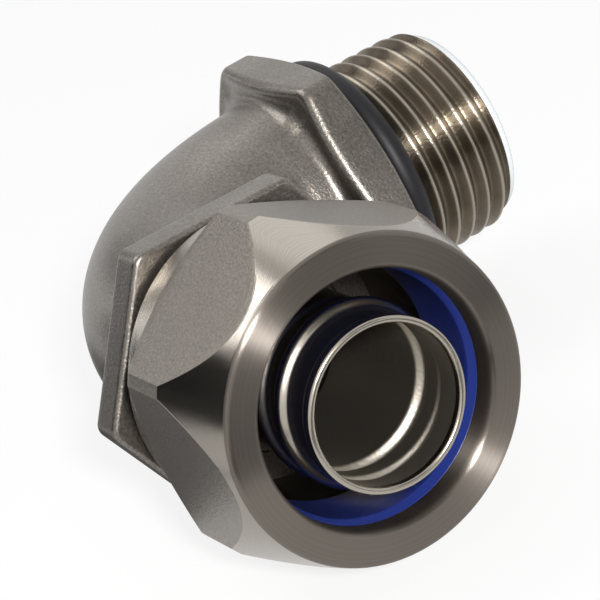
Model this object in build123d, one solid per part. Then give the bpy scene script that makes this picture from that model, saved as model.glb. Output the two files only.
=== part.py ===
from build123d import *
import math
import os

# Liquidtight conduit connector, 90 degree, half inch trade size
# Millimetres. The origin is the centre of the face that seals on the enclosure.
# +Y runs out along the enclosure thread, +X out along the conduit, and +Z is up.

# Elbow casting
bend_radius = 16.0
boss_run = 3.0  # straight, between the hexagon at the enclosure and the bend
collar_run = 4.0  # straight, between the bend and the hexagon behind the nut
wire_way_d = 15.8
elbow_back_wall = 3.8  # where it leaves the hexagon at the enclosure
elbow_front_wall = 1.9  # where it meets the collar
root_fillet = 1.4  # where each hexagon meets the round elbow
cast_edge_round = 0.5  # both cast hexagons

# Hexagon at the enclosure end
boss_step = 1.95  # how far its flats stand above the round elbow
boss_thickness = 3.5
boss_turn = 31.3  # degrees from +Z towards +X, to a corner
boss_corner_round = 1.7

# Hexagon behind the nut
collar_across_flats = 26.6
collar_thickness = 3.6
collar_turn = 58.4  # degrees from +Y towards +Z, to a corner
collar_corner_round = 1.2

# Threads are drawn as plain rings at their pitch
thread_crest = 0.25  # width of the flat on a crest
thread_root = 0.25  # width of the flat between two crests

# Enclosure thread, half inch pipe thread
thread_wall = 1.425  # metal between the wire way and the thread's root, which makes it 20.95 over the crests
thread_length = 13.5  # sealing face to the end of the thread
thread_pitch = 25.4 / 14
thread_depth = 1.15
thread_chamfer = 0.8  # plain run-out between the neck and the first ridge
neck_wall = 1.7  # round the wire way, in the plain neck that the ring sits on
neck_length = 3.1

# Mouth of the casting, the socket for the end of the conduit
mouth_d = 21.5
mouth_depth = 9.4  # to the shoulder that the ferrule's flange lies on
mouth_chamfer = 0.3

# Gland thread round the mouth, under the nut
relief_wall = 0.85  # outside the mouth
gland_thread_depth = 0.7
gland_thread_pitch = 1.5  # the relief beside the collar is one pitch long
gland_spigot_length = 9.4
gland_chamfer = 0.6

# Ferrule, formed from tube
ferrule_d = 14.6
ferrule_wall = 0.55
ferrule_length = 20.57
ferrule_flange_thickness = 0.9
bead_height = 0.35
bead_width = 1.8
bead_pitch = 3.53  # the real bead is a screw line, here plain rings at its pitch
bead_count = 3
bead_setback = 2.37  # middle of the front ring to the front rim

# Sealing ring of the gland
seal_grip = 0.1  # how much narrower its bore is than the mouth
seal_length = 7.25
seal_wall = 1.05
seal_bevel = 0.6

# Gland nut, its lengths from the back to the face
nut_gap = 0.6  # to the collar, with the nut home
nut_skirt_length = 3.2
nut_chamfer_length = 2.1
nut_corner_length = 5.3
nut_cone_length = 7.8
nut_turn = 93.6  # degrees from +Y towards +Z, to a corner
nut_back_wall = 0.95  # outside the thread bore, like the three below
nut_skirt_end_wall = 1.05
nut_flat_wall = 1.58
nut_corner_wall = 3.43  # the bar's corners are turned down to this
nut_face_wall = 2.5  # outside the glossy lip
nut_edge_round = 0.45
lip_flare = 0.5
lip_round = 0.8  # how far the glossy lip runs back from the face

# Ring at the enclosure thread and liner of the throat
o_ring_section_d = 3.0
liner_wall = 0.7
liner_tail = 1.0  # how far it runs in past the sealing face
liner_lip_wall = 1.7  # how far its lip stands past the wire way
liner_lip_thickness = 0.9
liner_lip_round = 0.5

# Clearances, each between two facing surfaces
running_fit = 0.07
seat_fit = 0.03
flange_fit = 0.1
axial_fit = 0.1

# Worked out from the sizes above. Along the conduit axis from where the two axes cross:
enclosure_leg = boss_thickness + boss_run + bend_radius
collar_back = bend_radius + collar_run
collar_front = collar_back + collar_thickness
gland_thread_start = collar_front + gland_thread_pitch
gland_thread_end = collar_front + gland_spigot_length
ferrule_seat = gland_thread_end - mouth_depth
ferrule_back = ferrule_seat + seat_fit
ferrule_front = ferrule_back + ferrule_length
seal_back = gland_thread_end + axial_fit
seal_front = seal_back + seal_length
nut_back = collar_front + nut_gap
nut_skirt_end = nut_back + nut_skirt_length
nut_corner_back = nut_skirt_end + nut_chamfer_length
nut_corner_front = nut_corner_back + nut_corner_length
nut_face = nut_corner_front + nut_cone_length
# Across the two axes:
thread_root_d = wire_way_d + 2 * thread_wall
thread_d = thread_root_d + 2 * thread_depth
neck_d = wire_way_d + 2 * neck_wall
liner_lip_d = wire_way_d + 2 * liner_lip_wall
elbow_back_d = wire_way_d + 2 * elbow_back_wall
elbow_front_d = wire_way_d + 2 * elbow_front_wall
boss_across_flats = elbow_back_d + 2 * boss_step
mouth_radius = mouth_d / 2
gland_relief_d = mouth_d + 2 * relief_wall
gland_thread_d = gland_relief_d + 2 * gland_thread_depth
seal_bore_d = mouth_d - seal_grip
seal_outside_radius = seal_bore_d / 2 + seal_wall
nut_bore_radius = gland_thread_d / 2 + running_fit
nut_seal_bore_radius = seal_outside_radius + running_fit
nut_across_flats = 2 * (nut_bore_radius + nut_flat_wall)
lip_front_radius = seal_bore_d / 2 + lip_flare
liner_outside_radius = wire_way_d / 2 - seat_fit
conduit_axis = Location((0, -enclosure_leg, 0))


def turned_along_x(profile):
    """Revolve a closed outline of (distance along the axis, radius) about the conduit axis."""
    outline = Polyline(*profile, close=True)
    return conduit_axis * revolve(make_face(outline), Axis.X)


def turned_along_y(profile):
    """Revolve a closed outline of (radius, distance along the axis) about the thread axis."""
    outline = Polyline(*profile, close=True)
    return revolve(make_face(outline), Axis.Y)


def hexagon_along_x(across_flats, turn, start, length, rounding=0.0):
    """Hexagonal prism on the conduit axis, with a corner at the given turn."""
    plane = Plane(origin=(start, -enclosure_leg, 0), x_dir=(0, 1, 0), z_dir=(1, 0, 0))
    outline = RegularPolygon(across_flats / 2, 6, major_radius=False, rotation=turn)
    if rounding:
        outline = fillet(outline.vertices(), rounding)
    return extrude(plane * outline, length)


def hexagon_along_y(across_flats, turn, start, length, rounding=0.0):
    """Hexagonal prism on the thread axis, with a corner at the given turn."""
    plane = Plane(origin=(0, start, 0), x_dir=(0, 0, 1), z_dir=(0, 1, 0))
    outline = RegularPolygon(across_flats / 2, 6, major_radius=False, rotation=turn)
    if rounding:
        outline = fillet(outline.vertices(), rounding)
    return extrude(plane * outline, length)


def thread_rings(start, end, pitch, major, minor):
    """Points of (distance, radius) over as many whole ridges as fit between two distances."""
    count = int((end - start) / pitch)
    points = []
    for turn in range(count):
        foot = start + turn * pitch + thread_root / 2
        flank = (pitch - thread_root - thread_crest) / 2
        points += [(foot, minor), (foot + flank, major), (foot + flank + thread_crest, major),
                   (foot + 2 * flank + thread_crest, minor)]
    return points


def bend(back_d, front_d):
    """Round bar from hexagon to hexagon: a straight run, a quarter turn and a straight run."""
    bend_start = (0, bend_radius - enclosure_leg)
    bend_end = (bend_radius, -enclosure_leg)
    centre = (bend_radius, bend_radius - enclosure_leg)
    quarter = CenterArc(centre, bend_radius, 180, 90)
    path = Line((0, -boss_thickness), bend_start) + quarter + Line(bend_end, (collar_back, -enclosure_leg))
    back = Plane(origin=(0, -boss_thickness, 0), z_dir=(0, -1, 0)) * Circle(back_d / 2)
    front = Plane(origin=(collar_back, -enclosure_leg, 0), z_dir=(1, 0, 0)) * Circle(front_d / 2)
    return sweep([back, front], path=path, multisection=True)


def boss():
    """Cast hexagon whose front face seals on the enclosure."""
    prism = hexagon_along_y(boss_across_flats, boss_turn, -boss_thickness, boss_thickness, boss_corner_round)
    rims = prism.faces().filter_by(Axis.Y).edges()
    return fillet(rims, cast_edge_round)


def collar():
    """Cast hexagon that holds the wrench while the nut is turned."""
    prism = hexagon_along_x(collar_across_flats, collar_turn, collar_back, collar_thickness, collar_corner_round)
    rims = prism.faces().filter_by(Axis.X).edges()
    return fillet(rims, cast_edge_round)


def enclosure_spigot():
    """Neck and thread that go through the knockout."""
    neck = neck_d / 2
    major = thread_d / 2
    minor = thread_root_d / 2
    start = neck_length + thread_chamfer
    rings = thread_rings(start, thread_length, thread_pitch, major, minor)
    return turned_along_y([
        (0, -boss_thickness), (neck, -boss_thickness), (neck, neck_length),
        *[(radius, distance) for distance, radius in rings],
        (minor, thread_length), (0, thread_length),
    ])


def gland_spigot():
    """Thread that the gland nut runs on, with its relief beside the collar."""
    relief = gland_relief_d / 2
    major = gland_thread_d / 2
    rings = thread_rings(gland_thread_start, gland_thread_end, gland_thread_pitch, major, relief)
    return turned_along_x([
        (collar_back, 0), (collar_back, relief), *rings, (gland_thread_end, relief), (gland_thread_end, 0),
    ])


def elbow_body():
    """One casting: bend, two hexagons, two spigots and the wire way through them."""
    outside = bend(elbow_back_d, elbow_front_d) + boss() + collar()
    roots = [edge for edge in outside.edges() if is_root(edge)]
    root_room = 0.98 * (boss_step - cast_edge_round)
    outside = fillet(roots, min(root_fillet, root_room))
    outside = outside + enclosure_spigot() + gland_spigot()
    throat = Plane(origin=(0, -boss_thickness, 0), z_dir=(0, 1, 0)) * Circle(wire_way_d / 2)
    mouth = turned_along_x([
        (collar_back, 0), (collar_back, wire_way_d / 2), (ferrule_seat, wire_way_d / 2),
        (ferrule_seat, mouth_radius), (gland_thread_end - mouth_chamfer, mouth_radius),
        (gland_thread_end, mouth_radius + mouth_chamfer), (gland_thread_end, 0),
    ])
    return outside - bend(wire_way_d, wire_way_d) - extrude(throat, boss_thickness + thread_length) - mouth


def is_root(edge):
    """True for the circle where the round elbow runs into the back of a hexagon."""
    points = [edge @ share for share in (0.0, 0.2, 0.45, 0.7)]
    at_boss = all(
        abs(point.Y + boss_thickness) < 1e-4 and abs(math.hypot(point.X, point.Z) - elbow_back_d / 2) < 1e-3
        for point in points)
    at_collar = all(
        abs(point.X - collar_back) < 1e-4
        and abs(math.hypot(point.Y + enclosure_leg, point.Z) - elbow_front_d / 2) < 1e-3
        for point in points)
    return at_boss or at_collar


def o_ring():
    """Rubber ring on the neck, against the sealing face."""
    offset = o_ring_section_d / 2 + seat_fit
    section = Pos(neck_d / 2 + offset, offset) * Circle(o_ring_section_d / 2)
    return revolve(section, Axis.Y)


def throat_liner():
    """Nylon sleeve in the throat, with a lip over the end of the thread."""
    outer = liner_outside_radius
    inner = outer - liner_wall
    lip = liner_lip_d / 2
    lip_back = thread_length + seat_fit
    front = lip_back + liner_lip_thickness
    return turned_along_y([
        (inner, -liner_tail), (outer, -liner_tail), (outer, lip_back), (lip, lip_back),
        (lip, front - liner_lip_round), (lip - liner_lip_round, front),
        (inner + liner_lip_round, front), (inner, front - liner_lip_round),
    ])


def ferrule():
    """Formed tube that goes inside the conduit, with a flange on the shoulder of the mouth."""
    outer = ferrule_d / 2
    inner = outer - ferrule_wall
    flange = mouth_radius - flange_fit
    back = ferrule_back
    front = ferrule_front
    edge = ferrule_wall / 3
    beads = []
    for turn in reversed(range(bead_count)):
        middle = front - bead_setback - turn * bead_pitch
        beads += [
            (middle - bead_width / 2, outer), (middle - bead_width / 4, outer + bead_height),
            (middle + bead_width / 4, outer + bead_height), (middle + bead_width / 2, outer),
        ]
    return turned_along_x([
        (back, inner), (back, flange), (back + ferrule_flange_thickness, flange),
        (back + ferrule_flange_thickness, outer), *beads,
        (front - edge, outer), (front, outer - edge), (front, inner + edge), (front - edge, inner),
    ])


def sealing_ring():
    """Nylon ring between the nut's shoulder and the mouth of the casting."""
    inner = seal_bore_d / 2
    outer = seal_outside_radius
    return turned_along_x([
        (seal_back, inner), (seal_back, outer - seal_bevel), (seal_back + seal_bevel, outer),
        (seal_front, outer), (seal_front, inner),
    ])


def nut_envelope():
    """Turned outline that cuts the hexagon bar: skirt, back chamfer, corner band and front cone."""
    corner = nut_bore_radius + nut_corner_wall
    edge = lip_front_radius + nut_face_wall
    back = nut_bore_radius + nut_back_wall
    skirt_end = nut_bore_radius + nut_skirt_end_wall
    return turned_along_x([
        (nut_back, 0), (nut_back, back), (nut_skirt_end, skirt_end),
        (nut_corner_back, corner), (nut_corner_front, corner),
        (nut_face - nut_edge_round, edge), (nut_face, edge - nut_edge_round), (nut_face, 0),
    ])


def nut_hollow():
    """Thread bore, seat of the sealing ring and the hole that the conduit goes through."""
    shoulder = seal_front + axial_fit
    seal_seat_start = seal_back - axial_fit
    lip = seal_bore_d / 2
    entry = nut_bore_radius + gland_chamfer
    return turned_along_x([
        (nut_back, 0), (nut_back, entry), (nut_back + gland_chamfer, nut_bore_radius),
        (seal_seat_start, nut_bore_radius), (seal_seat_start, nut_seal_bore_radius),
        (shoulder, nut_seal_bore_radius), (shoulder, lip), (nut_face - lip_round, lip),
        (nut_face, lip_front_radius), (nut_face, 0),
    ])


def gland_nut():
    """Hexagon bar nut, turned at both ends and bored through."""
    length = nut_face - nut_back
    bar = hexagon_along_x(nut_across_flats, nut_turn, nut_back, length)
    return (bar & nut_envelope()) - nut_hollow()


pieces = {
    "elbow_body": elbow_body,
    "o_ring": o_ring,
    "throat_liner": throat_liner,
    "ferrule": ferrule,
    "sealing_ring": sealing_ring,
    "gland_nut": gland_nut,
}

os.makedirs("parts", exist_ok=True)
for name, make in pieces.items():
    solid = make()
    export_step(solid, f"parts/{name}.step")
    print(name, "volume", round(solid.volume, 1), "mm3")
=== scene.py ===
# %% [markdown]
# A right-angle liquidtight connector joins flexible metal conduit to a box. It is a stainless
# steel casting with two hexagons, a turned gland nut, a formed tube ferrule, and three soft
# parts: a blue sealing ring, a black rubber ring and a pale throat liner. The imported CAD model
# gives every place and every motion, and this script gives the surfaces and the finishes.

# %% Load the frame
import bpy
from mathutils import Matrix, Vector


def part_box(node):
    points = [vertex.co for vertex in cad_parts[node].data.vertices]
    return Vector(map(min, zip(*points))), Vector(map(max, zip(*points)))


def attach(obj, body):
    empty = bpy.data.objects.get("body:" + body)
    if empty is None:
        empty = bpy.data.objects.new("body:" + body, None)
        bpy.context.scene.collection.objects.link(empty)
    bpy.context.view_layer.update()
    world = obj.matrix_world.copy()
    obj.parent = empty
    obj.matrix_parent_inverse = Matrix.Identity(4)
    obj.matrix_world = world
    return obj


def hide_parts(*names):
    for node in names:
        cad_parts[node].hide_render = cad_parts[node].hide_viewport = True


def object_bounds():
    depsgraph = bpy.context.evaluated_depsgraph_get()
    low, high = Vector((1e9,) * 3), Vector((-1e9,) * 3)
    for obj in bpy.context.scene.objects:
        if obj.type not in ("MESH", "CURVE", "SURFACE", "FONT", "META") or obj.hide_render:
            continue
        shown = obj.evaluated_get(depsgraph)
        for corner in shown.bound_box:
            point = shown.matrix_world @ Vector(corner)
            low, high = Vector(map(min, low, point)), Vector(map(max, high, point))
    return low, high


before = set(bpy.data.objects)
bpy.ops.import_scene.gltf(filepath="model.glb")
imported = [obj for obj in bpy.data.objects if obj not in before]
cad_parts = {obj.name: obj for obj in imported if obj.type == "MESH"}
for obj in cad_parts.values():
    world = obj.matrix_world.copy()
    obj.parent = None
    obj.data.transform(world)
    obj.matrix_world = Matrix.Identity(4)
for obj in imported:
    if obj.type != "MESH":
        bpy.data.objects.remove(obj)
cad_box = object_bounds()
print("CAD box in metres", [[round(c, 4) for c in corner] for corner in cad_box])

import math

import bmesh
import bpy
import numpy as np
from mathutils import Matrix, Vector

# %% [markdown]
# Sizes come first. The box of each CAD node says where the piece starts and ends, so the
# surfaces below follow the CAD model when it changes. What a box can't say, such as a fillet or
# the height of a bead, is a named value in millimetres.

# %% Read the sizes from the frame
MM = 0.001


def box_mm(node):
    """Lowest and highest corner of a CAD node, in millimetres."""
    low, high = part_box(node)
    return np.array(low) / MM, np.array(high) / MM


nut_low, nut_high = box_mm("gland_nut")
_, elbow_high = box_mm("elbow_body")
ferrule_low, ferrule_high = box_mm("ferrule")
seal_low, seal_high = box_mm("sealing_ring")
_, rubber_high = box_mm("o_ring")
liner_low, liner_high = box_mm("throat_liner")

LEG = -(nut_low[1] + nut_high[1]) / 2
THREAD_END = elbow_high[1]
MOUTH = elbow_high[0]
print("leg", round(LEG, 2), "thread end", round(THREAD_END, 2), "mouth", round(MOUTH, 2))

# %% [markdown]
# Every piece here is round or nearly round, so each is one grid of points: rows follow the
# outline of a section and come back to their start, and columns go once round the axis. Such a
# grid has no poles and no open edges. The alternative, joining cylinders and cones with
# booleans, leaves long thin faces that shade badly on metal.

# %% One closed grid becomes one mesh
WELD_GAP = 1e-7  # metres, far below any real gap, so only points in the same place are joined


def new_object(name, data):
    """Object with this data, in the scene."""
    item = bpy.data.objects.new(name, data)
    bpy.context.scene.collection.objects.link(item)
    return item


def closed_mesh(name, points, body, node, marks=None, helical=0, lead=0, sharp=38,
                bands=None):
    """Mesh of a grid that closes both ways. points is (rows, columns, 3) in millimetres, and face (i,
    j) joins rows i and i + 1 to columns j and j + 1. The first helical rows climb one pitch in a turn:
    their last column joins the first column lead rows further on. UV is the share of the turn and the
    millimetres along the outline. marks is a value on each point that the material reads: for the
    finish, and also for a painted highlight on the thread's crests and painted shade in the seal's
    bore. bands is the material of each row, and an edge of more than sharp degrees shades sharp. The
    sign of the volume says if the faces must be turned."""
    rows, columns = points.shape[:2]
    verts = points.reshape(-1, 3) * MM
    i, j = np.meshgrid(np.arange(rows), np.arange(columns), indexing="ij")
    i2, j2 = (i + 1) % rows, (j + 1) % columns
    climb = np.arange(rows)
    climb[:helical] = np.minimum(climb[:helical] + lead, helical - 1)
    over = np.where(j2 == 0, climb[i], i) * columns + j2
    over2 = np.where(j2 == 0, climb[i2], i2) * columns + j2
    quads = np.stack([i * columns + j, over, over2, i2 * columns + j], -1).reshape(-1, 4)
    a, b, c, d = (verts[quads[:, k]] for k in range(4))
    volume = np.einsum("ij,ij->", a, np.cross(b, c)) + np.einsum("ij,ij->", a, np.cross(c, d))
    step = np.linalg.norm(np.diff(points, axis=0, append=points[:1]), axis=2).mean(1)
    along = np.concatenate([[0.0], np.cumsum(step)])
    turn = np.linspace(0.0, 1.0, columns + 1)
    u = np.stack([turn[j], turn[j + 1], turn[j + 1], turn[j]], -1).reshape(-1, 4)
    v = np.stack([along[i], along[i], along[i + 1], along[i + 1]], -1).reshape(-1, 4)
    if volume < 0:
        quads, u, v = quads[:, ::-1], u[:, ::-1], v[:, ::-1]
    mesh = bpy.data.meshes.new(name)
    mesh.from_pydata(verts.tolist(), [], quads.tolist())
    layer = mesh.uv_layers.new(name="Turned")
    layer.data.foreach_set("uv", np.stack([u, v], -1).ravel())
    if marks is not None:
        mark = mesh.attributes.new("turned", "FLOAT", "POINT")
        mark.data.foreach_set("value", np.broadcast_to(marks, (rows, columns)).ravel())
    if bands is not None:
        mesh.polygons.foreach_set("material_index", np.repeat(bands, columns))
    if helical:
        welded = bmesh.new()
        welded.from_mesh(mesh)
        bmesh.ops.remove_doubles(welded, verts=welded.verts, dist=WELD_GAP)
        welded.to_mesh(mesh)
        welded.free()
    mesh.shade_smooth()
    mesh.set_sharp_from_angle(angle=math.radians(sharp))
    mesh.update()
    piece = new_object(name, mesh)
    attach(piece, body)
    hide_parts(node)
    print(name, "faces", len(mesh.polygons), "volume mm3", round(abs(volume) / 6 / MM**3))
    return piece


# %% [markdown]
# A grid needs angles for its columns and distances for its rows. On a round part both are even.
# On a thread the rows climb with the helix instead, as the cutting tool does on the lathe. The
# rows of one turn join the rows one pitch further on, so the surface has no seam.

# %% Columns, climbing rows and the two axes


def climbing(start, end, pitch, per_pitch, angle):
    """Rows that follow a right-hand helix between start and end, one pitch to a turn. They begin
    one pitch early and end one late, and are clipped to the two ends."""
    count = math.ceil(per_pitch * ((end - start) / pitch + 1)) + 1
    step = np.arange(count)[:, None] / per_pitch
    return np.clip(start + pitch * (step - 1 + angle / (2 * np.pi)), start, end)


def turns(columns):
    """Angles round an axis, one for each column."""
    return np.arange(columns) * 2 * np.pi / columns


def stacked(rows, angle):
    """Distances and radii of a list of rows, each spread over all the angles."""
    one = np.ones_like(angle)
    return np.stack([x * one for x, _ in rows]), np.stack([r * one for _, r in rows])


def round_conduit(x, radius, angle):
    """Points at distance x along the conduit axis, angle counted from +Y towards +Z."""
    x, radius, angle = np.broadcast_arrays(x, radius, angle)
    return np.stack([x, -LEG + radius * np.cos(angle), radius * np.sin(angle)], -1)


def round_thread(y, radius, angle):
    """Points at distance y along the enclosure thread's axis, angle counted from +Z towards +X."""
    y, radius, angle = np.broadcast_arrays(y, radius, angle)
    return np.stack([radius * np.sin(angle), y, radius * np.cos(angle)], -1)


print("columns for one round of 12:", np.degrees(turns(12)).round())

# %% [markdown]
# No machined or moulded edge is quite sharp. A small round at each corner of an outline is what
# catches the light. A Bevel modifier could make it, but the outline is only a few points, so it
# is simpler to round the outline itself before it is carried round the axis.

# %% Outlines with rounded corners
NEARLY_STRAIGHT = 1.55  # radians, half the angle of a corner that needs no arc


def rounded(corners, steps=5):
    """Outline with its corners rounded. Each corner is (a, b, radius). The arc starts and ends
    at radius * tan(half the turn) from the corner, and its points turn evenly about its centre."""
    given = np.array(corners, float)
    out = []
    for k, (a, b, radius) in enumerate(given):
        here = np.array([a, b])
        back = given[k - 1, :2] - here
        ahead = given[(k + 1) % len(given), :2] - here
        back /= np.linalg.norm(back)
        ahead /= np.linalg.norm(ahead)
        half = math.acos(np.clip(back @ ahead, -1, 1)) / 2
        if radius == 0 or half > NEARLY_STRAIGHT:
            out.append(here[None])
            continue
        middle = (back + ahead) / np.linalg.norm(back + ahead)
        centre = here + middle * radius / math.sin(half)
        swing = np.linspace(-1, 1, steps)[:, None] * (math.pi / 2 - half)
        side = np.array([-middle[1], middle[0]])
        side *= np.sign(side @ ahead)
        out.append(centre + radius * (side * np.sin(swing) - middle * np.cos(swing)))
    return np.concatenate(out)


def spaced(outline, gap):
    """The closed outline with points added, so that no two are more than gap apart."""
    after = np.roll(outline, -1, axis=0)
    runs = []
    for start, end in zip(outline, after):
        count = max(1, math.ceil(np.linalg.norm(end - start) / gap))
        share = np.arange(count)[:, None] / count
        runs.append(start + share * (end - start))
    return np.concatenate(runs)


print("a rounded square has", len(rounded([(0, 0, 1), (4, 0, 1), (4, 4, 1), (0, 4, 1)])), "points")

# %% [markdown]
# A thread is a helix: at any point the height of the ridge depends on how far along the axis the
# point lies, less the part of a pitch that its angle accounts for. A triangle wave with a cut top
# and bottom gives the sixty degree ridge. One function serves all the threads.

# %% Ridge of a thread
FLANK_ROUNDING = 0.35


def ridge(along, angle, pitch, phase=0.0, flat=0.14):
    """1 on the crest and 0 in the root of a right-hand helix. The distance from the nearest
    crest, as a share of half a pitch, runs from 0 to 1, and flat is cut from both ends. The
    straight flank is mixed with FLANK_ROUNDING of a smooth step, which rounds its two ends."""
    turned = (along - phase) / pitch - angle / (2 * np.pi)
    away = np.abs(2 * (turned - np.round(turned)))
    share = np.clip((1 - away - flat) / (1 - 2 * flat), 0, 1)
    smooth = share * share * (3 - 2 * share)
    return smooth * FLANK_ROUNDING + share * (1 - FLANK_ROUNDING)


print("ridge over half a pitch", ridge(np.linspace(0, 0.5, 6), 0.0, 1.0).round(2))

# %% [markdown]
# Three hexagons take the wrenches. Seen from its axis, a hexagon is one number for each angle,
# the distance to its side, so it fits the same grid as the round parts. A cast corner is well
# rounded, and a corner of drawn bar is nearly sharp.

# %% Side of a hexagon


def hexagon(across_flats, corner_angle, angle, rounding):
    """Distance from the axis to a hexagon with rounded corners: the flat's distance over the
    cosine of the angle from its middle, and near a corner the far side of the small circle."""
    apothem = across_flats / 2
    from_corner = (angle - corner_angle + np.pi / 6) % (np.pi / 3) - np.pi / 6
    flat = apothem / np.cos(np.pi / 6 - np.abs(from_corner))
    centre = (apothem - rounding) / math.cos(math.pi / 6)
    across = rounding**2 - (centre * np.sin(from_corner)) ** 2
    arc = centre * np.cos(from_corner) + np.sqrt(np.maximum(across, 0))
    touch = math.atan2(rounding / 2, centre + rounding * math.cos(math.pi / 6))
    return np.where(np.abs(from_corner) < touch, arc, flat)


print("20 across flats, at a corner and a flat", hexagon(20, 0, np.radians([0, 30]), 1).round(2))

# %% [markdown]
# The elbow and its two hexagons are one surface carried along a bent centre line, from the neck
# of the enclosure thread round the quarter bend to the neck of the gland thread, and back through
# the wire way. Its radius is a function of the place on that line and of the angle, so the
# hexagons and their fillets are part of the same grid. The round part narrows towards the collar.

# %% Casting sizes
BEND_RADIUS = 16.0
BOSS_THICK = 3.5  # the boss is the large hexagon at the box
BOSS_RUN = LEG - BEND_RADIUS - BOSS_THICK
ELBOW_BACK_R, ELBOW_FRONT_R = 11.68, 9.8
WIRE_WAY_R = 7.9
BOSS_FLATS, BOSS_CORNER, BOSS_TURN = 27.29, 1.7, math.radians(121.3)
BOSS_BOW = 0.6  # the corners are chamfered, so each flat is this much longer at its middle
COLLAR_FLATS, COLLAR_CORNER, COLLAR_TURN = 26.59, 1.2, math.radians(121.6)
COLLAR_BACK, COLLAR_THICK = 20.0, 3.6  # the collar is the thin hexagon behind the nut
NECK_R, NECK_END = 9.6, 3.1
GLAND_RELIEF_R, GLAND_RELIEF = 11.6, 1.5
BEND_START = BOSS_THICK + BOSS_RUN
ARC = BEND_RADIUS * math.pi / 2
print("quarter bend", round(ARC, 2), "mm long, after a straight run of", round(BOSS_RUN, 2), "mm")

# %% [markdown]
# The centre line is a straight run, a quarter circle and a straight run. A Curve object with a
# bevel could follow it, but its section can't change from round to hexagon on the way. So the
# line is a function of distance, and the section is placed across it point by point.

# %% Centre line and round part of the casting


def centre_line(s):
    """Point and outward direction of the centre line. s is minus y on the thread's leg, then
    grows along the quarter arc, then along the conduit's leg."""
    swing = np.clip((s - BEND_START) / BEND_RADIUS, 0, np.pi / 2)
    outward = np.stack([-np.cos(swing), -np.sin(swing), 0 * swing], -1)
    middle = np.array([BEND_RADIUS, -BEND_START, 0.0])
    point = middle + BEND_RADIUS * outward
    point[..., 1] += np.clip(BEND_START - s, 0, None)
    point[..., 0] += np.clip(s - BEND_START - ARC, 0, None)
    return point, outward


def station(x):
    """Distance along the centre line of a point x along the conduit axis."""
    return BEND_START + ARC + x - BEND_RADIUS


def elbow_radius(s):
    """Outside radius of the round part: it falls evenly from the boss to the collar."""
    share = (s - BOSS_THICK) / (station(COLLAR_BACK) - BOSS_THICK)
    return ELBOW_BACK_R + (ELBOW_FRONT_R - ELBOW_BACK_R) * share


def crowded_turns(corner, count, power=1.6):
    """Angles all round that lie closer together near the six corners: even shares of half a
    side, raised to a power."""
    share = np.linspace(0, 1, count + 1) ** power * 30
    sextant = np.concatenate([share[:-1], 60 - share[:0:-1]])
    return corner + np.radians((np.arange(6)[:, None] * 60 + sextant).ravel())


around_cast = crowded_turns((BOSS_TURN + COLLAR_TURN) / 2, 22)  # shared by both hexagons
print("columns of the casting", len(around_cast))

# %% [markdown]
# On a casting the corners of a hexagon are rounded by the mould, and its foot runs into the round
# part in a hollow. Where the flats come close to the round part there is little room, so the
# hollow shrinks there and grows towards the corners. That makes the scalloped shadow line on
# the real one.

# %% Face of a cast hexagon
ROOM_SHARE = 0.92  # how much of the room beside a flat the hollow may take
BOSS_FRONT_EDGE, BOSS_BACK_EDGE, BOSS_HOLLOW = 0.45, 0.95, 2.2
COLLAR_FRONT_EDGE, COLLAR_BACK_EDGE, COLLAR_HOLLOW = 0.5, 0.6, 1.8
quarter = np.linspace(0, np.pi / 2, 8)


def neck(s):
    """Radius that the front face of the large hexagon ends at, the same all along."""
    return NECK_R


def relief(s):
    """Radius that the front face of the collar ends at, the same all along."""
    return GLAND_RELIEF_R


def side_rows(corner, inside, at, way, edge_round, fillet):
    """Rows of one face of a hexagon, from its side inwards: a quarter round at the edge, the flat
    face, and a hollow quarter round down to the round part. way is 1 where the face looks towards
    growing s, and the hollow is as large as the room at each angle lets it be."""
    rows = [(at - way * edge_round * (1 - math.sin(q)), corner - edge_round * (1 - math.cos(q)))
            for q in quarter]
    room = corner - edge_round - inside(at)
    hollow = np.clip(ROOM_SHARE * room, 0.02, fillet) if fillet else 0.0 * room
    foot = inside(at) + hollow
    rows += [(at, corner - edge_round + w * (foot - corner + edge_round)) for w in (0.08, 0.5, 0.92)]
    if fillet:
        end_r = inside(at + way * hollow)
        rows += [(at + way * hollow * (1 - math.cos(q)), end_r + hollow * (1 - math.sin(q)))
                 for q in quarter]
    else:
        rows.append((at, inside(at)))
    return rows


boss_side = hexagon(BOSS_FLATS, BOSS_TURN, around_cast, BOSS_CORNER)
collar_side = hexagon(COLLAR_FLATS, COLLAR_TURN, around_cast, COLLAR_CORNER)
collar_at = station(COLLAR_BACK)
collar_end = collar_at + COLLAR_THICK
bowed = 1 - (boss_side - boss_side.min()) / np.ptp(boss_side)
boss_front = side_rows(boss_side, neck, -BOSS_BOW * bowed, -1, BOSS_FRONT_EDGE, 0.0)
boss_back = side_rows(boss_side, elbow_radius, BOSS_THICK + BOSS_BOW * bowed, 1, BOSS_BACK_EDGE,
                      BOSS_HOLLOW)
collar_back = side_rows(collar_side, elbow_radius, collar_at, -1, COLLAR_BACK_EDGE, COLLAR_HOLLOW)
collar_front = side_rows(collar_side, relief, collar_end, 1, COLLAR_FRONT_EDGE, 0.0)
print("rows of one cast face", len(boss_back), "and flats bowed by", BOSS_BOW, "mm")

# %% [markdown]
# The rows are now put in order: out along the neck, over the large hexagon, round the bend, over
# the collar, and back inside through the wire way. A few plain rows cross the side of each
# hexagon. The last row meets the first, so the casting is one closed skin with a real hollow.

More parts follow.
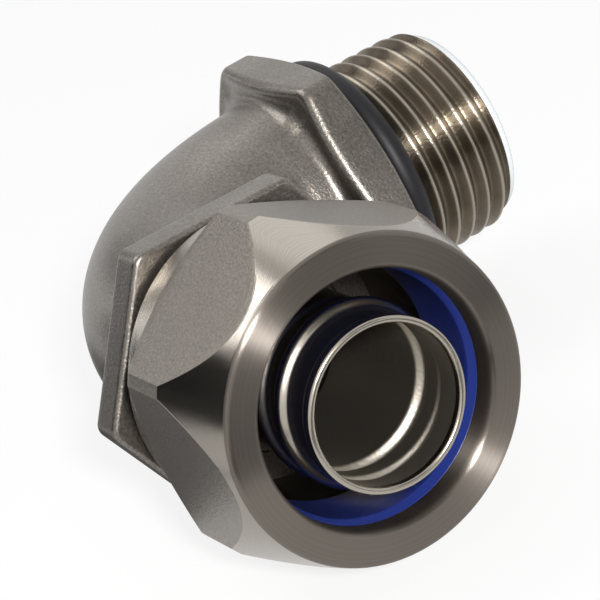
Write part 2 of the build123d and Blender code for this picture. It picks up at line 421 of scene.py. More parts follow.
# %% Rows of the casting
BEND_ROWS, WIRE_WAY_ROWS = 60, 60
cast_rows = [(-NECK_END, NECK_R), (-NECK_END + 0.2, NECK_R), (-0.3, NECK_R)]
cast_rows += boss_front[::-1]
cast_rows += [(BOSS_THICK * w, boss_side) for w in (0.25, 0.45, 0.62)]
cast_rows += boss_back
bend_from, bend_to = boss_back[-1][0], collar_back[-1][0]
for w in np.linspace(0, 1, BEND_ROWS)[1:-1]:
    s = bend_from + w * (bend_to - bend_from)
    cast_rows.append((s, elbow_radius(s)))
cast_rows += collar_back[::-1]
cast_rows += [(collar_at + COLLAR_THICK * w, collar_side) for w in (0.3, 0.55, 0.75)]
cast_rows += collar_front
cast_rows += [(collar_end + w, GLAND_RELIEF_R) for w in (0.3, 1.1)]
cast_rows += [(collar_end + 1.1, WIRE_WAY_R + 0.4), (collar_end + 0.3, WIRE_WAY_R)]
cast_rows += [(s, WIRE_WAY_R) for s in np.linspace(collar_end, -NECK_END + 0.2, WIRE_WAY_ROWS)]
cast_rows += [(-NECK_END, WIRE_WAY_R)]
stations, radii = stacked(cast_rows, around_cast)
point, outward = centre_line(stations)
up = np.array([0.0, 0.0, 1.0])
swung = np.cos(around_cast)[None, :, None] * outward + np.sin(around_cast)[None, :, None] * up
cast_points = point + radii[..., None] * swung
casting = closed_mesh("elbow_casting", cast_points, "elbow", "elbow_body")

# %% [markdown]
# The enclosure thread is a tapered pipe thread, 14 to the inch, cut on the casting. Its rows climb
# with the helix, so each crest is one clean row of edges. Level rows would cross the crests and
# leave them stepped. The first ridge rises out of the neck, and the last one is chamfered.

# %% Enclosure thread
THREAD_PITCH, THREAD_DEPTH, THREAD_PHASE = 25.4 / 14, 0.78, 6.16
THREAD_R, THREAD_TAPER = 10.54, 1 / 40
THREAD_FLAT = 0.09  # share of half a pitch that is flat on a crest, and in a root
THREAD_START = NECK_END - 0.6
THREAD_ROWS = 22  # to a pitch
THREAD_SHARP = 70  # degrees, so that the flanks shade smoothly and the two ends don't
around_thread = turns(216)
thread_y = climbing(THREAD_START, THREAD_END, THREAD_PITCH, THREAD_ROWS, around_thread)
helix = ridge(thread_y, around_thread, THREAD_PITCH, THREAD_PHASE, THREAD_FLAT)
major = THREAD_R - (thread_y - THREAD_PHASE) * THREAD_TAPER
thread_r = major - THREAD_DEPTH * (1 - helix)
run_in = NECK_R + (thread_y - NECK_END + 0.5) * 1.5
thread_r = np.minimum(thread_r, np.maximum(NECK_R, run_in))
thread_r = np.minimum(thread_r, major - THREAD_DEPTH * 0.75 + (THREAD_END - thread_y))
thread_in = [(THREAD_END, WIRE_WAY_R)]
thread_in += [(y, WIRE_WAY_R) for y in np.linspace(THREAD_END - 0.4, NECK_END, 6)]
thread_in += [(THREAD_START, WIRE_WAY_R)]
bore_y, bore_r = stacked(thread_in, around_thread)
thread_y_all = np.vstack([thread_y, bore_y])
thread_r_all = np.vstack([thread_r, bore_r])
# The crests are 1 here and take a paler colour: a painted highlight where the light catches each crest.
thread_crest_painted_highlight = np.zeros(thread_y_all.shape)
thread_crest_painted_highlight[:len(thread_y)] = np.clip((helix - 0.9) / 0.1, 0, 1)  # 1 on the crests, for the finish
thread_points = round_thread(thread_y_all, thread_r_all, around_thread)
spigot = closed_mesh("enclosure_thread", thread_points, "elbow", "elbow_body",
                     thread_crest_painted_highlight, len(thread_y), THREAD_ROWS, THREAD_SHARP)

# %% [markdown]
# The gland thread and the mouth of the casting lie under the nut. They come into sight when the
# nut is screwed off, and the mouth's wall shows past the blue ring. The same climbing rows make
# this thread.

# %% Gland thread and mouth
GLAND_R, GLAND_PITCH, GLAND_DEPTH = 12.3, 1.5, 0.75
MOUTH_R, SEAT = 10.75, ferrule_low[0] - 0.03
GLAND_START = COLLAR_BACK + COLLAR_THICK + 0.3
GLAND_ROWS = 16  # to a pitch
GLAND_SHARP = 50  # degrees
around_gland = turns(180)
gland_x = climbing(GLAND_START, MOUTH, GLAND_PITCH, GLAND_ROWS, around_gland)
gland_r = GLAND_R - GLAND_DEPTH * (1 - ridge(gland_x, around_gland, GLAND_PITCH))
run_out = GLAND_RELIEF_R + gland_x - GLAND_START - GLAND_RELIEF + 0.6
gland_r = np.minimum(gland_r, np.maximum(GLAND_RELIEF_R, run_out))
gland_r = np.minimum(gland_r, GLAND_R - 0.6 + (MOUTH - gland_x))
gland_in = [(MOUTH, MOUTH_R + 0.3), (MOUTH - 0.3, MOUTH_R), (SEAT + 0.5, MOUTH_R)]
gland_in += [(SEAT + 0.3, MOUTH_R), (GLAND_START, MOUTH_R + 0.02)]
mouth_x, mouth_r = stacked(gland_in, around_gland)
gland_x_all = np.vstack([gland_x, mouth_x])
gland_r_all = np.vstack([gland_r, mouth_r])
gland_points = round_conduit(gland_x_all, gland_r_all, around_gland)
gland = closed_mesh("gland_thread", gland_points, "elbow", "elbow_body", 0.0,
                    len(gland_x), GLAND_ROWS, GLAND_SHARP)

# %% [markdown]
# The gland nut is cut from hexagon bar and turned at both ends. Where a cone meets a flat, the
# edge is a curve. The rows are placed so that one of them lies on that curve at every angle, and
# the rows beside it round it a little, as the deburred edge of a real nut is.

# %% Sizes and columns of the gland nut
NUT_FLATS, NUT_CORNER_R = 27.9, 15.8
NUT_CORNER_ANGLE = math.radians(93.6)
NUT_BACK, NUT_FACE = nut_low[0], nut_high[0]
SKIRT_BACK_R, SKIRT_END, SKIRT_END_R = 13.3, 27.4, 13.4
SKIRT_CHAMFER = 0.3
CORNER_BACK, CORNER_FRONT = 29.5, 34.8
FACE_EDGE_R, FACE_ROUND = 13.78, 0.45
LIP_R, LIP_FRONT_R, LIP_DEPTH = 10.7, 11.2, 0.8
NUT_CLEARANCE = 0.07


def nut_turns():
    """Angles round the nut: crowded at the two edges of each turned-down corner, 2 degrees from
    the corner's middle, and wider apart over the flats."""
    half = np.array([0, 1.0, 1.75, 1.95, 2.15, 2.6, 3.6, 5, 7, 9.5, 12, 14.5, 17, 20, 23, 26.5])
    sextant = np.concatenate([half, [30], 60 - half[:0:-1]])
    return NUT_CORNER_ANGLE + np.radians((np.arange(6)[:, None] * 60 + sextant).ravel())


def eased(start_x, start_r, end_x, end_r, count, ease=0.1):
    """Rows from one edge to the next, straight between them, with a close row by each edge."""
    length = np.hypot(end_x - start_x, end_r - start_r)
    near = np.clip(ease / np.maximum(length, 1e-6), 0, 0.3)
    shares = [near] + [np.full_like(near, w) for w in np.linspace(0, 1, count + 2)[1:-1]] + [1 - near]
    shares = [np.clip(w, near, 1 - near) for w in shares]
    return [(start_x + w * (end_x - start_x), start_r + w * (end_r - start_r)) for w in shares]


around_nut = nut_turns()
print("columns of the nut", len(around_nut))

# %% [markdown]
# A cone takes more off the corners than off the flats. Where the two meet follows from the slope
# of the cone and from the distance to the bar's side, so it is worked out for every angle. A
# boolean of a hexagon and a cone gives the same curve, but no row to round it with.

# %% Outside of the gland nut
bar = np.minimum(hexagon(NUT_FLATS, NUT_CORNER_ANGLE, around_nut, 0.05), NUT_CORNER_R)
back_slope = (NUT_CORNER_R - SKIRT_END_R) / (CORNER_BACK - SKIRT_END)
front_slope = (NUT_CORNER_R - FACE_EDGE_R) / (NUT_FACE - FACE_ROUND - CORNER_FRONT)
flat_back = CORNER_BACK - (NUT_CORNER_R - bar) / back_slope
flat_front = CORNER_FRONT + (NUT_CORNER_R - bar) / front_slope
edges = [
    (NUT_BACK, SKIRT_BACK_R - SKIRT_CHAMFER, 1),
    (NUT_BACK + SKIRT_CHAMFER, SKIRT_BACK_R, 3),
    (SKIRT_END, SKIRT_END_R, 3),
    (flat_back, bar, 12),
    (flat_front, bar, 20),
]
nut_rows = []
nut_bands = []
BAND_OF = {1: 3, 3: 1, 4: 2}  # material of each stretch: skirt, flats, cone; the rest is turned
outline = edges + [(NUT_FACE - FACE_ROUND, FACE_EDGE_R, 0)]
for k in range(len(edges)):
    (x0, r0, count), (x1, r1, _) = outline[k], outline[k + 1]
    span = eased(x0, r0, x1, r1, count)
    if nut_rows:
        (xa, ra), (xb, rb) = nut_rows[-1], span[0]
        nut_rows.append((0.5 * x0 + 0.25 * (xa + xb), 0.5 * r0 + 0.25 * (ra + rb)))
        nut_bands.append(BAND_OF.get(k, 0))
    nut_rows += span
    nut_bands += [BAND_OF.get(k, 0)] * len(span)
print("rows outside", len(nut_rows))

# %% [markdown]
# The face is turned flat, and the hole's lip is rounded over, so that the conduit slides in. The
# lip is the bright ring round the hole. Behind it are the seat of the blue ring and the nut's own
# thread, which fades out at both ends.

# %% Face, lip and inside of the gland nut
for q in np.linspace(0, np.pi / 2, 7):
    nut_rows.append((NUT_FACE - FACE_ROUND * (1 - math.sin(q)),
                     FACE_EDGE_R - FACE_ROUND * (1 - math.cos(q))))
for w in (0.06, 0.5, 0.94):
    face_r = (FACE_EDGE_R - FACE_ROUND) * (1 - w) + LIP_FRONT_R * w
    nut_rows.append((NUT_FACE, face_r))
for q in np.linspace(0, np.pi / 2, 9):
    nut_rows.append((NUT_FACE - LIP_DEPTH * (1 - math.cos(q)),
                     LIP_FRONT_R - (LIP_FRONT_R - LIP_R) * math.sin(q)))
SHOULDER, SEAL_BORE_R = seal_high[0] + 0.1, seal_high[2] + NUT_CLEARANCE
SEAL_SEAT_START, NUT_BORE_R = seal_low[0] - 0.1, GLAND_R + NUT_CLEARANCE
nut_rows += [(SHOULDER, LIP_R), (SHOULDER, SEAL_BORE_R), (SEAL_SEAT_START, SEAL_BORE_R),
             (SEAL_SEAT_START, NUT_BORE_R)]
FADE = 0.8
FIRST_RIDGE, LAST_RIDGE = SEAL_SEAT_START - 0.2, NUT_BACK + 0.8
for x in np.linspace(FIRST_RIDGE, LAST_RIDGE, 100):
    female = ridge(x, around_nut, GLAND_PITCH)
    fade = np.clip((FIRST_RIDGE - x) / FADE, 0, 1) * np.clip((x - LAST_RIDGE) / FADE, 0, 1)
    nut_rows.append((x, NUT_BORE_R - GLAND_DEPTH * (1 - female) * fade * 0.8))
nut_rows += [(NUT_BACK + 0.6, NUT_BORE_R), (NUT_BACK, NUT_BORE_R + 0.4)]
nut_bands += [0] * (len(nut_rows) - len(nut_bands))
nut_x, nut_r = stacked(nut_rows, around_nut)
nut_points = round_conduit(nut_x, nut_r, around_nut)
nut = closed_mesh("hexagon_gland_nut", nut_points, "nut", "gland_nut",
                  bands=np.array(nut_bands))

# %% [markdown]
# The ferrule is thin tube. Its front rim is rolled over, and a coarse helical bead is rolled
# into its wall so that the conduit's own spiral screws onto it. Rolling moves the inside of the
# wall with the outside, so the same helix is added to both.

# %% Ferrule
RIM_R = 7.3
RIM_WALL, RIM_ROUND = 0.62, 0.28  # the rolled rim is thicker than the tube
RIM_LENGTH, RIM_SLOPE = 0.9, 0.4  # the slope joins the rim to the tube
FERRULE_WALL = 0.45
TUBE_STEP = 0.15  # how far the tube lies inside the line of its rim
TUBE_R = RIM_R - TUBE_STEP
BORE_R = TUBE_R - FERRULE_WALL
FLANGE_R = ferrule_high[2]
FLANGE_THICK = 0.9
BEAD_PITCH, BEAD_HEIGHT, BEAD_HALF = 3.53, 0.7, 0.68
BEAD_AT = 38.3
BEAD_FIRST, BEAD_LAST, BEAD_FADE = 35.6, 41.4, 1.2


def bead(x, angle):
    """Height of the rolled bead: a flat-topped bell, the exponential of minus the fourth power of
    the distance to the helix, faded at both ends."""
    turned = (x - BEAD_AT) / BEAD_PITCH - angle / (2 * np.pi)
    away = (turned - np.round(turned)) * BEAD_PITCH
    fade = np.clip((x - BEAD_FIRST) / BEAD_FADE, 0, 1) * np.clip((BEAD_LAST - x) / BEAD_FADE, 0, 1)
    return BEAD_HEIGHT * np.exp(-((away / BEAD_HALF) ** 4)) * fade


around_ferrule = turns(180)
back, front = SEAT, ferrule_high[0]
ferrule_outline = rounded([
    (back, BORE_R, 0.15), (back, FLANGE_R, 0.2),
    (back + FLANGE_THICK, FLANGE_R, 0.2), (back + FLANGE_THICK, TUBE_R, 0.3),
    (front - RIM_LENGTH - RIM_SLOPE, TUBE_R, 0.0), (front - RIM_LENGTH, RIM_R, 0.0),
    (front, RIM_R, RIM_ROUND), (front, RIM_R - RIM_WALL, RIM_ROUND),
    (front - RIM_LENGTH + 0.15, RIM_R - RIM_WALL, 0.2), (front - RIM_LENGTH, BORE_R, 0.1),
])
ferrule_outline = spaced(ferrule_outline, 0.1)
ferrule_x, ferrule_r = ferrule_outline[:, :1], ferrule_outline[:, 1:]
on_tube = np.clip(ferrule_x - back - 1.5, 0, 1)  # 0 near the flange, where no bead is rolled
ferrule_radius = ferrule_r + bead(ferrule_x, around_ferrule) * on_tube
in_bore = ferrule_r < BORE_R + 0.05
inside_wall = (in_bore & (ferrule_x < front - 0.7)).astype(float)  # 1 on the bore, for the finish
ferrule_points = round_conduit(ferrule_x, ferrule_radius, around_ferrule)
ferrule = closed_mesh("rolled_ferrule", ferrule_points, "elbow", "ferrule",
                      inside_wall)

# %% [markdown]
# The blue ring is squeezed between the nut and the mouth, and grips the conduit. It is a plain
# turned outline with rounded corners, so `rounded` makes its section. Its front is bevelled, and
# that bevel is the blue that shows round the ferrule.

# %% Sealing ring
around_soft = turns(160)
SOFT_GAP = 0.6  # widest space between two rows
seal_in, seal_out, seal_lip = 10.4, seal_high[2], 10.75
seal_back, seal_front = seal_low[0], seal_high[0]
SEAL_BEVEL = 0.9
seal_outline = spaced(rounded([
    (seal_back, seal_in, 0.2), (seal_back, seal_out - 0.6, 0.15), (seal_back + 0.6, seal_out, 0.15),
    (seal_front, seal_out, 0.15), (seal_front, seal_lip, 0.1), (seal_front - SEAL_BEVEL, seal_in, 0.4),
]), SOFT_GAP)
# 1 on the bore behind the bevel: painted shade for the deep part of the bore, which the light doesn't
#                                 reach.
seal_bore_painted_shade = np.clip((seal_front - SEAL_BEVEL - seal_outline[:, :1]) / 0.6, 0, 1)
seal_points = round_conduit(seal_outline[:, :1], seal_outline[:, 1:], around_soft)
seal = closed_mesh("blue_sealing_ring", seal_points, "seal", "sealing_ring", seal_bore_painted_shade)

# %% [markdown]
# The rubber ring is a doughnut round the neck. A torus primitive would do, but the same grid
# function keeps all the pieces alike. It sits just off the face, as it does before the connector
# is screwed home and squeezes it.

# %% Rubber ring
rubber_half = 1.25
rubber_middle = rubber_high[1] - 1.05
rubber_centre = rubber_high[0] + 0.05 - rubber_half
section = turns(40)[:, None]
rubber_y = rubber_middle + rubber_half * np.sin(section)
rubber_r = rubber_centre + rubber_half * np.cos(section)
rubber_points = round_thread(rubber_y, rubber_r, around_soft)
rubber = closed_mesh("rubber_ring", rubber_points, "elbow", "o_ring")

# %% [markdown]
# The liner is a thin sleeve in the throat with a lip over the end of the thread. The lip is well
# rounded, because the wires are pulled over it.

# %% Throat liner
LINER_FIT, LINER_WALL = 0.03, 0.7
liner_out = WIRE_WAY_R - LINER_FIT
liner_in = liner_out - LINER_WALL
lip_r = liner_high[0]
lip_back = THREAD_END + LINER_FIT
liner_outline = spaced(rounded([
    (liner_in, liner_low[1], 0.1), (liner_out, liner_low[1], 0.1), (liner_out, lip_back, 0.0),
    (lip_r, lip_back, 0.1), (lip_r, liner_high[1], 0.6), (liner_in, liner_high[1], 0.8),
]), SOFT_GAP)
liner_points = round_thread(liner_outline[:, 1:], liner_outline[:, :1], around_soft)
liner = closed_mesh("throat_liner_sleeve", liner_points, "elbow", "throat_liner")

# %% [markdown]
# Materials start from the real ones. Each colour is written as it is on paper, in hex, and one
# function turns it linear. One more adds a node with its settings and links. The scale of a noise
# is how many of its patches fit in a metre, so it comes from the real size of a grain. The
# distance of a bump is in metres too, so 0.00006 is 0.06 mm.

# %% Colour and node helpers


def linear(code):
    """Linear colour of an sRGB hex code: each channel is divided by 12.92 when dark, and else
    follows the 2.4 power curve."""
    channels = np.array([int(code[k:k + 2], 16) / 255 for k in (1, 3, 5)])
    curve = np.where(channels <= 0.04045, channels / 12.92, ((channels + 0.055) / 1.055) ** 2.4)
    return (*curve.tolist(), 1.0)


def add(tree, kind, links=(), **settings):
    """Adds a node. settings are its properties, or its inputs by name with _ for a space. links
    are (input, output socket) pairs."""
    node = tree.nodes.new("ShaderNode" + kind)
    for key, value in settings.items():
        if hasattr(node, key):
            setattr(node, key, value)
        else:
            node.inputs[key.replace("_", " ")].default_value = value
    for target, source in links:
        tree.links.new(source, node.inputs[target])
    return node


def new_material(name):
    """Material with an empty node tree, and that tree."""
    material = bpy.data.materials.new(name)
    material.use_nodes = True
    material.node_tree.nodes.clear()
    return material, material.node_tree


def finish_material(tree, shader):
    """Links the shader to a material output."""
    add(tree, "OutputMaterial", [("Surface", shader.outputs[0])])


def per_metre(size_mm):
    """Scale of a pattern whose patches are size_mm wide: one over that size in metres."""
    return 1 / (size_mm * MM)


def ramp(tree, noise, stops):
    """Colour that follows a noise between two stops, each a value of the noise and a hex code."""
    node = add(tree, "ValToRGB", [("Fac", noise)])
    for element, (position, code) in zip(node.color_ramp.elements, stops):
        element.position = position
        element.color = linear(code)
    return node


def toned(tree, noise, spread, colour_code):
    """Colour times a number that follows a noise, from 1 - spread to 1 + spread."""
    tone = add(tree, "MapRange", [("Value", noise)], From_Min=0.3, From_Max=0.7,
               To_Min=1 - spread, To_Max=1 + spread)
    colour = add(tree, "Mix", [("B", tone.outputs["Result"])], data_type="RGBA", blend_type="MULTIPLY")
    colour.inputs["Factor"].default_value = 1.0
    colour.inputs["A"].default_value = linear(colour_code)
    return colour


print("mid grey #808080 is", round(linear("#808080")[0], 3), "as a linear value")

# %% [markdown]
# The casting is blasted with fine beads. Each bead leaves a dimple, so the eye sees a matt metal
# that sparkles a little. A bump does the dimples. The same noise also lightens and darkens the
# colour, because at this size a bump alone is averaged away. Real dimples are about 0.1 mm, too
# fine to show in the picture, so they are drawn at 0.24 mm, and at 0.22 mm on the nut's flats.

# %% Blasted metal


def blasted(name, dimple_mm, harshness, spread, colour_code, strength, depth):
    """Blasted metal. One noise of patches dimple_mm wide makes the bump and the lighter and
    darker specks. Gives the material and the node of its colour."""
    material, tree = new_material(name)
    place = add(tree, "TexCoord").outputs["Object"]
    dimples = add(tree, "TexNoise", [("Vector", place)], Scale=per_metre(dimple_mm), Detail=2.0,
                  Roughness=harshness)
    colour = toned(tree, dimples.outputs["Fac"], spread, colour_code)
    bump = add(tree, "Bump", [("Height", dimples.outputs["Fac"])], Strength=strength, Distance=depth)
    shader = add(tree, "BsdfPrincipled", [("Base Color", colour.outputs["Result"]),
                 ("Normal", bump.outputs["Normal"])], Metallic=1.0, Roughness=0.36)
    finish_material(tree, shader)
    print(name, "has", len(tree.nodes), "nodes")
    return material, colour


# %% [markdown]
# The casting's colour also changes slowly, over some 8 mm, from one patch of the mould to the
# next. So a ramp between two greys takes the place of its one colour.

# %% Cast metal
cast, colour = blasted("blasted cast stainless steel", 0.24, 0.6, 0.28, "#6f6a64", 0.55, 0.00006)
tree = cast.node_tree
place = add(tree, "TexCoord").outputs["Object"]
cloud = add(tree, "TexNoise", [("Vector", place)], Scale=per_metre(8.3), Detail=2.0)
greys = ramp(tree, cloud.outputs["Fac"], [(0.35, "#6f6a64"), (0.65, "#7d7872")])
tree.links.new(greys.outputs["Color"], colour.inputs["A"])
casting.data.materials.append(cast)
print("with its patches", len(tree.nodes), "nodes")

# %% [markdown]
# The threads are cut after blasting, so they are smoother than the casting. Cutting oil and dust tint
# the flanks and roots brown, and the crests are painted paler: a painted highlight where the light
# catches each crest. The tool's grooves run along the helix, which stretches each highlight across the
# ridges: that is anisotropy, with its tangent taken from the UV map and a rotation of 0.25, a quarter
# turn, across it. Patches of stain are about 4 mm, and the tool marks, 0.05 mm in truth, are drawn at
# 0.28 mm.

# %% Cut threads
threaded, tree = new_material("cut stainless steel thread")
place = add(tree, "TexCoord").outputs["Object"]
mark = add(tree, "Attribute", attribute_name="turned").outputs["Fac"]
stain = add(tree, "TexNoise", [("Vector", place)], Scale=per_metre(3.8), Detail=3.0)
grain = add(tree, "TexNoise", [("Vector", place)], Scale=per_metre(0.28), Detail=2.0)
flank = ramp(tree, stain.outputs["Fac"], [(0.35, "#5f574c"), (0.68, "#756a5b")])
# The paler colour on the crests is a painted highlight.
tone = add(tree, "Mix", [("Factor", mark), ("A", flank.outputs["Color"])], data_type="RGBA")
tone.inputs["B"].default_value = linear("#a39b8e")
bump = add(tree, "Bump", [("Height", grain.outputs["Fac"])], Strength=0.35, Distance=0.00006)
tangent = add(tree, "Tangent", direction_type="UV_MAP", uv_map="Turned")
shader = add(tree, "BsdfPrincipled", [("Base Color", tone.outputs["Result"]),
             ("Normal", bump.outputs["Normal"]), ("Tangent", tangent.outputs["Tangent"])],
             Metallic=1.0, Roughness=0.33, Anisotropic=0.95, Anisotropic_Rotation=0.25)
finish_material(tree, shader)
spigot.data.materials.append(threaded)
gland.data.materials.append(threaded)
print(threaded.name, "has", len(tree.nodes), "nodes")

# %% [markdown]
# The nut is turned on a lathe at its face, cone and skirt. Fine grooves run round the axis. They
# smear a highlight across themselves, so a lamp becomes a bright fan on the face, as on a disc.
# Each stretch was cut with its own feed, so the face, cone and skirt differ in gloss. Real
# grooves are about 0.05 mm apart, and the noise lines here 0.11 mm, so that they can be seen.

# %% Turned metal
GROOVE_MM = 0.11


def turned_finish(name, colour_code, roughness, anisotropic, line_height):
    """Metal cut on a lathe. Fine grooves run round the axis, so the gloss is spread across them,
    along the outline, and stays narrow round the axis. The noise lines run with the grooves."""
    material, tree = new_material(name)
    unwrapped = add(tree, "UVMap", uv_map="Turned").outputs["UV"]
    parts = add(tree, "SeparateXYZ", [("Vector", unwrapped)])
    lines = add(tree, "TexNoise", [("W", parts.outputs["Y"])], noise_dimensions="1D",
                Scale=1 / GROOVE_MM, Detail=4.0, Roughness=0.7)
    colour = toned(tree, lines.outputs["Fac"], 0.12, colour_code)
    bump = add(tree, "Bump", [("Height", lines.outputs["Fac"])], Strength=line_height, Distance=0.00005)
    tangent = add(tree, "Tangent", direction_type="UV_MAP", uv_map="Turned")
    shader = add(tree, "BsdfPrincipled", [("Base Color", colour.outputs["Result"]),
                 ("Normal", bump.outputs["Normal"]), ("Tangent", tangent.outputs["Tangent"])],
                 Metallic=1.0, Roughness=roughness, Anisotropic=anisotropic,
                 Anisotropic_Rotation=0.25)
    finish_material(tree, shader)
    return material


nut.data.materials.append(turned_finish("faced stainless steel bar", "#766f68", 0.3, 1.0, 0.2))
print("grooves to a millimetre", round(1 / GROOVE_MM))

# %% [markdown]
# The flats of the nut are the skin of the bar as it was drawn, and they were blasted with the
# rest before turning. They look like the casting, a little lighter and finer. The cone and the
# skirt then take the turned finish with a smoother cut.

# %% Hexagon flats, cone and skirt
flats, _ = blasted("drawn stainless steel hexagon bar", 0.22, 0.65, 0.24, "#7f7972", 0.6, 0.00005)
nut.data.materials.append(flats)
nut.data.materials.append(turned_finish("turned stainless steel cone", "#928c84", 0.19, 0.4, 0.08))
nut.data.materials.append(turned_finish("burnished stainless steel skirt", "#a39d94", 0.13, 0.6, 0.3))
print("finishes of the nut", [material.name for material in nut.data.materials])

# %% [markdown]
# The ferrule is cold-rolled tube. Its rim and outside are burnished by the rolls, and its bore is
# duller and stained. One value on the points, 1 in the bore and 0 elsewhere, raises the
# roughness and the bump there. The grain of 0.31 mm is coarser than the real skin, so that it shows.

# %% Formed tube
formed, tree = new_material("rolled stainless steel tube")
place = add(tree, "TexCoord").outputs["Object"]
mark = add(tree, "Attribute", attribute_name="turned").outputs["Fac"]
grain = add(tree, "TexNoise", [("Vector", place)], Scale=per_metre(0.31), Detail=2.0)
rough = add(tree, "MapRange", [("Value", mark)], To_Min=0.22, To_Max=0.42)
depth = add(tree, "MapRange", [("Value", mark)], To_Min=0.15, To_Max=0.5)
bump = add(tree, "Bump", [("Height", grain.outputs["Fac"]), ("Strength", depth.outputs["Result"])],
           Distance=0.00005)
shader = add(tree, "BsdfPrincipled", [("Roughness", rough.outputs["Result"]),
             ("Normal", bump.outputs["Normal"])], Metallic=1.0, Base_Color=linear("#a8a196"))
finish_material(tree, shader)
ferrule.data.materials.append(formed)
print(formed.name, "has", len(tree.nodes), "nodes")

# %% [markdown]
# The three soft parts come from moulds. What they share is a skin that waves a little, so one
# function makes them, and only the size of the waves, the gloss and the colour differ.

# %% Moulded materials


def moulded(name, wave_mm, strength, colour_code, **settings):
    """Moulded material of one colour, with a bump in waves of wave_mm. Gives its shader too."""
    material, tree = new_material(name)
    place = add(tree, "TexCoord").outputs["Object"]
    waves = add(tree, "TexNoise", [("Vector", place)], Scale=per_metre(wave_mm), Detail=2.0)
    bump = add(tree, "Bump", [("Height", waves.outputs["Fac"])], Strength=strength, Distance=0.0001)
    shader = add(tree, "BsdfPrincipled", [("Normal", bump.outputs["Normal"])],
                 Base_Color=linear(colour_code), **settings)
    finish_material(tree, shader)
    print(name, "has", len(tree.nodes), "nodes")
    return material, shader


# %% [markdown]
# The sealing ring is blue nylon. It is glossy, with waves of 1.4 mm. Its bore is painted a shade darker
# than its bevelled front: painted shade for the deep part of the bore, which the light doesn't reach.

# %% Blue nylon
blue, shader = moulded("moulded blue nylon", 1.4, 0.08, "#1f2e74", Roughness=0.32, IOR=1.53)
tree = blue.node_tree
# The darker blue mixed in on the bore is painted shade.
mark = add(tree, "Attribute", attribute_name="turned").outputs["Fac"]
tone = add(tree, "Mix", [("Factor", mark)], data_type="RGBA")
tone.inputs["A"].default_value = linear("#1f2e74")
tone.inputs["B"].default_value = linear("#1a2560")
tree.links.new(tone.outputs["Result"], shader.inputs["Base Color"])
seal.data.materials.append(blue)
print("with the shade of its bore", len(tree.nodes), "nodes")

# %% [markdown]
# Nitrile rubber is nearly black. Its skin is matt, so it gives back only a wide, weak sheen. Its
# index of refraction is about 1.5 in the tables, and 1.36 matches the weak sheen of this ring.
# The mould's skin is drawn at 0.67 mm, coarser than it is, so that it shows.

# %% Black rubber
black, shader = moulded("black nitrile rubber", 0.67, 0.1, "#0f0e11", Roughness=0.5, IOR=1.36)
rubber.data.materials.append(black)
print("roughness", round(shader.inputs["Roughness"].default_value, 2))

# %% [markdown]
# The throat liner is nylon without a pigment, milky white, with a soft gloss. It saves the wires
# from the sharp end of the thread. Its flow marks are about 2 mm wide and hardly raised.

# %% Natural nylon
white, shader = moulded("moulded natural nylon", 2.0, 0.05, "#cdd0d2", Roughness=0.4, IOR=1.53)
liner.data.materials.append(white)
print("roughness", round(shader.inputs["Roughness"].default_value, 2))

# %% [markdown]
# The camera stands where the photographer's did. It was found from the circles of the nut and
# the crests of the thread: a long lens, 26 cm away, turned a little about its own axis.

# %% Camera
AIM = Vector((10.57, -11.96, -3.15)) * MM
AZIMUTH, ELEVATION, ROLL = math.radians(66.93), math.radians(22.25), math.radians(21.54)
CAMERA_DISTANCE = 260.1 * MM
LENS = 172.0

away = Vector((math.sin(AZIMUTH) * math.cos(ELEVATION), -math.cos(AZIMUTH) * math.cos(ELEVATION),
               math.sin(ELEVATION)))
lens = bpy.data.cameras.new("photo camera")
lens.sensor_width = 36.0
lens.lens = LENS
lens.clip_start, lens.clip_end = 0.01, 20.0
camera = new_object("photo camera", lens)
camera.rotation_mode = "QUATERNION"
camera.location = AIM + away * CAMERA_DISTANCE
upright = away.to_track_quat("Z", "Y")
camera.rotation_quaternion = upright @ Matrix.Rotation(-ROLL, 3, "Z").to_quaternion()
bpy.context.scene.camera = camera
print("camera in metres", [round(c, 3) for c in camera.location])

# %% [markdown]
# The floor and the world have to look white, and still light the object only weakly. So both give
# one answer to the rays that see, from the camera or off a mirroring surface, and another to the
# rest. The Light Path node tells them apart.

# %% Rays that see
SEEING = ("Is Camera Ray", "Is Transmission Ray", "Is Glossy Ray")


def seeing_rays(tree):
    """Node that gives 1 for a ray from the camera, one that passed through a surface or one that
    a glossy surface mirrors, and else 0: the largest of the three flags."""
    rays = add(tree, "LightPath")
    first, second, third = (rays.outputs[flag] for flag in SEEING)
    either = add(tree, "Math", [(0, first), (1, second)], operation="MAXIMUM")
    return add(tree, "Math", [(0, either.outputs[0]), (1, third)], operation="MAXIMUM")


print("rays that see:", SEEING)

# %% [markdown]
# The floor is pale and plain, just under the lowest corner of the nut. It has to look white and
# still keep the shadow. So for the rays that see, its paper is mixed with a white glow. The glow
# is seen and mirrored, but it lights nothing matt.

# %% Floor
FLOOR_GAP = 0.0002
FLOOR_HALF = 3.0
GLOW_SHARE = 0.8
floor_z = cad_box[0].z - FLOOR_GAP
floor_mesh = bpy.data.meshes.new("floor")
corners = [(-FLOOR_HALF, -FLOOR_HALF, floor_z), (FLOOR_HALF, -FLOOR_HALF, floor_z),
           (FLOOR_HALF, FLOOR_HALF, floor_z), (-FLOOR_HALF, FLOOR_HALF, floor_z)]
floor_mesh.from_pydata(corners, [], [(0, 1, 2, 3)])
floor = new_object("floor", floor_mesh)
paper, tree = new_material("white paper floor")
share = add(tree, "Math", [(0, seeing_rays(tree).outputs[0])], operation="MULTIPLY")
share.inputs[1].default_value = GLOW_SHARE
matt = add(tree, "BsdfDiffuse", Color=linear("#efefee"))
glow = add(tree, "Emission", Strength=1.0)
both = add(tree, "MixShader", [(0, share.outputs[0]), (1, matt.outputs[0]), (2, glow.outputs[0])])
finish_material(tree, both)
floor_mesh.materials.append(paper)
print("floor at", round(floor_z / MM, 2), "mm")

# %% [markdown]
# The world does two jobs. To the camera and in mirrors it is plain white, as a studio's backdrop
# is. To everything else it is a weak fill, so that the lamps shape the object.

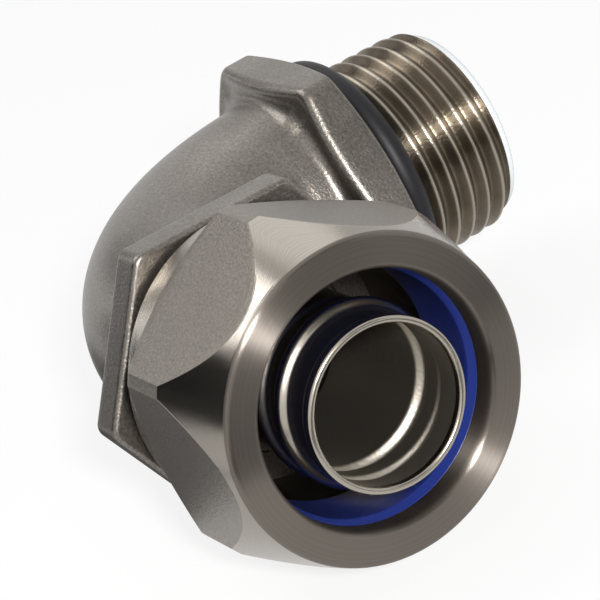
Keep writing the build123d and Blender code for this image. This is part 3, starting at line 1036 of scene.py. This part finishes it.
# %% World
world = bpy.data.worlds.new("studio")
bpy.context.scene.world = world
world.use_nodes = True
tree = world.node_tree
tree.nodes.clear()
fill = add(tree, "Background", Color=linear("#f4f5f7"), Strength=0.4)
backdrop = add(tree, "Background", Color=(1, 1, 1, 1), Strength=1.0)
blend = add(tree, "MixShader", [(0, seeing_rays(tree).outputs[0]), (1, fill.outputs[0]),
            (2, backdrop.outputs[0])])
add(tree, "OutputWorld", [("Surface", blend.outputs[0])])
print("world has", len(tree.nodes), "nodes")

# %% [markdown]
# Metal shows what stands round it, so the lamps are soft boxes, and their shapes matter as much
# as their light. The strong one overhead shapes the elbow, two weak ones rim the cone and the
# nut, and a small one by the camera looks into the nut.

# %% Lamps
PIECE_MIDDLE = Vector((15.0, -14.0, 0.0)) * MM
LAMP_DISTANCE = 0.45


def softbox(name, direction, side, power):
    """Square lamp, placed along a direction from the middle of the object and facing it."""
    lamp = bpy.data.lights.new(name, "AREA")
    lamp.shape = "SQUARE"
    lamp.size = side
    lamp.energy = power
    item = new_object(name, lamp)
    toward = Vector(direction).normalized()
    item.location = PIECE_MIDDLE + toward * LAMP_DISTANCE
    item.rotation_mode = "QUATERNION"
    item.rotation_quaternion = toward.to_track_quat("Z", "Y")


softbox("overhead softbox", (-0.46, -0.36, 0.81), 0.22, 0.64)
softbox("softbox for the cone", (-0.54, 0.34, 0.77), 0.20, 0.105)
softbox("window behind the nut", (-0.85, -0.42, 0.32), 0.12, 0.08)
softbox("lamp by the camera", (0.876, -0.252, 0.41), 0.04, 2.6)
print("lamps", len(bpy.data.lights))

# %% [markdown]
# In a white room a metal part would look washed out. A photographer stands black and grey cards
# round it, out of the picture, and the metal mirrors them as its dark sides. Here the cards are
# seen by reflections only, so they take no light from the object and throw no shadow.

# %% Cards


def stand_card(name, middle, facing, width, height, finish):
    """Card that only reflections see. middle is in millimetres, and facing points from the
    card to what it shades."""
    half_w, half_h = width / 2, height / 2
    mesh = bpy.data.meshes.new(name)
    turn = Vector(facing).to_track_quat("Z", "Y").to_matrix()
    points = [(Vector(middle) + turn @ Vector(p)) * MM for p in
              ((-half_w, -half_h, 0), (half_w, -half_h, 0), (half_w, half_h, 0), (-half_w, half_h, 0))]
    mesh.from_pydata(points, [], [(0, 1, 2, 3)])
    card = new_object(name, mesh)
    card.visible_camera = False
    card.visible_shadow = False
    card.visible_diffuse = False
    mesh.materials.append(finish)


def card_finish(name, colour_code):
    """Matt card of one colour."""
    material, tree = new_material(name)
    finish_material(tree, add(tree, "BsdfDiffuse", Color=linear(colour_code)))
    return material


black_card = card_finish("black studio card", "#191919")
grey_card = card_finish("grey studio card", "#6c6c6c")
pale_card = card_finish("pale studio card", "#b3b3b3")
on_floor = floor_z / MM + 1.0
stand_card("tall dark card", (-310, -375, 172), (0.66, 0.71, -0.25), 480, 330, black_card)
stand_card("pale card behind", (-450, -130, 264), (0.85, 0.21, -0.48), 300, 300, pale_card)
stand_card("floor card", (-23, -50, on_floor), (0, 0, 1), 76, 42, grey_card)
stand_card("low dark card", (138, -25, on_floor), (0, 0, 1), 130, 130, grey_card)
stand_card("high grey card", (404, 167, 256), (-0.78, -0.36, -0.51), 300, 300, grey_card)

# %% [markdown]
# The Standard view shows each colour as it is written.

# %% View transform
bpy.context.scene.view_settings.view_transform = "Standard"
